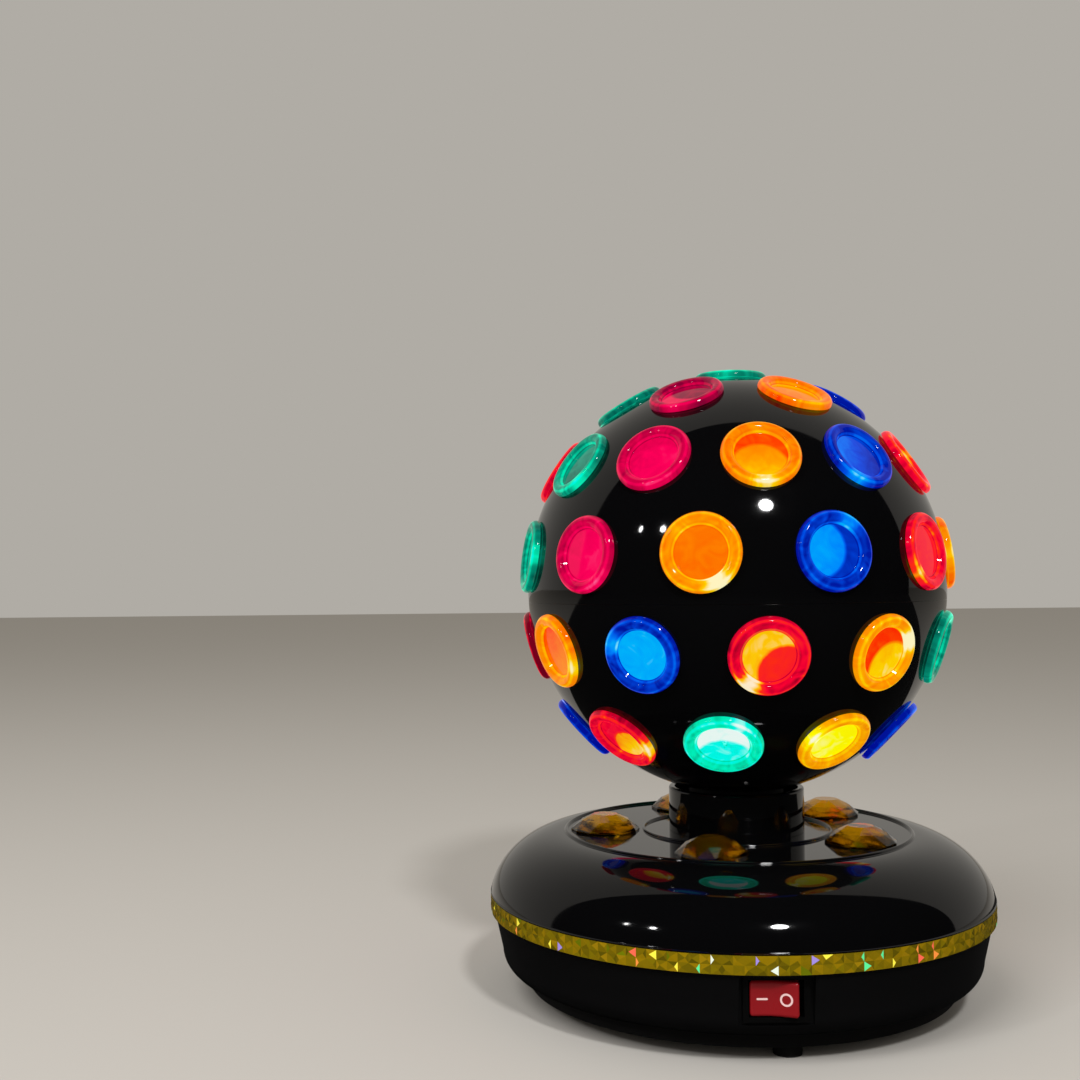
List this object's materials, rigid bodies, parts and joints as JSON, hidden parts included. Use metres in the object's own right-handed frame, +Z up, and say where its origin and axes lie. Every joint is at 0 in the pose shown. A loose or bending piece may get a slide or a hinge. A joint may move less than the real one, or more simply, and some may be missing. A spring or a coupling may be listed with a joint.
{
  "type": "rotating disco light",
  "caption": "Table-top rotating disco light: a black ball with coloured lenses turns on a round motor base with a gold band, amber jewels and a red rocker switch.",
  "frame": {"origin": "on the table, under the ball's axis of rotation", "axes": "+Z up along the ball's axis of rotation, -Y towards the switch, +X to the right when facing the switch"},
  "size_m": [0.21, 0.21, 0.2614],
  "materials": {
    "ball_shell": "piano black, moulded and polished",
    "lens_green": "transparent tinted, moulded",
    "lens_magenta": "transparent tinted, moulded",
    "lens_orange": "transparent tinted, moulded",
    "lens_blue": "transparent tinted, moulded",
    "lens_red": "transparent tinted, moulded",
    "lens_yellow": "transparent tinted, moulded",
    "dome_black": "piano black, moulded",
    "shell_black": "fine vertical texture, moulded",
    "cover_black": "moulded",
    "gold_tape": "gold holographic tape, embossed squares",
    "jewel_amber": "transparent amber, faceted",
    "nylon": "natural, turned or moulded",
    "steel": "zinc plated",
    "motor_can": "pressed, plated",
    "brass": "plated, drawn",
    "holder_black": "heat-resistant, moulded",
    "bulb_glass": "clear",
    "rocker_red": "moulded, white legends",
    "switch_black": "moulded",
    "rubber": "moulded"
  },
  "bodies": {
    "base": {"gear_motor": "motor_can", "motor_screws": "steel", "bearing_sleeve": "brass", "thrust_washer": "nylon", "base_top_cover": "dome_black", "neck_collar": "dome_black", "neck_screws": "steel", "deck_jewels": "jewel_amber", "gold_band": "gold_tape", "base_lower_shell": "shell_black", "bottom_cover": "cover_black", "base_screws": "steel", "rubber_feet": "rubber", "lamp_post": "steel", "post_nuts": "brass", "lamp_holder": "holder_black", "lamp_cap": "brass", "lamp_bulb": "bulb_glass", "switch_body": "switch_black", "switch_terminals": "brass", "cord_grommet": "rubber"},
    "ball": {"ball_upper_shell": "ball_shell", "ball_lower_shell": "ball_shell", "green_lenses": "lens_green", "magenta_lenses": "lens_magenta", "orange_lenses": "lens_orange", "blue_lenses": "lens_blue", "red_lenses": "lens_red", "yellow_lenses": "lens_yellow", "ball_hub": "nylon", "ring_gear": "nylon", "retaining_ring": "steel", "hub_screws": "steel"},
    "pinion": {"drive_pinion": "nylon", "motor_shaft": "steel"},
    "rocker": {"switch_rocker": "rocker_red"}
  },
  "joints": [
    {"name": "ball_spin", "type": "hinge", "parent": "base", "child": "ball", "pos_m": [0, 0, 0.065], "axis": [0, 0, 1], "continuous": true},
    {"name": "pinion_spin", "type": "hinge", "parent": "base", "child": "pinion", "pos_m": [0, 0.04008, 0.05], "axis": [0, 0, 1], "continuous": true},
    {"name": "rocker_tilt", "type": "hinge", "parent": "base", "child": "rocker", "pos_m": [0, -0.0951, 0.0256], "axis": [0, 0, 1], "range_deg": [0, 20]}
  ],
  "couplings": [
    {"joint": "pinion_spin", "follows": "ball_spin", "ratio": -3}
  ]
}
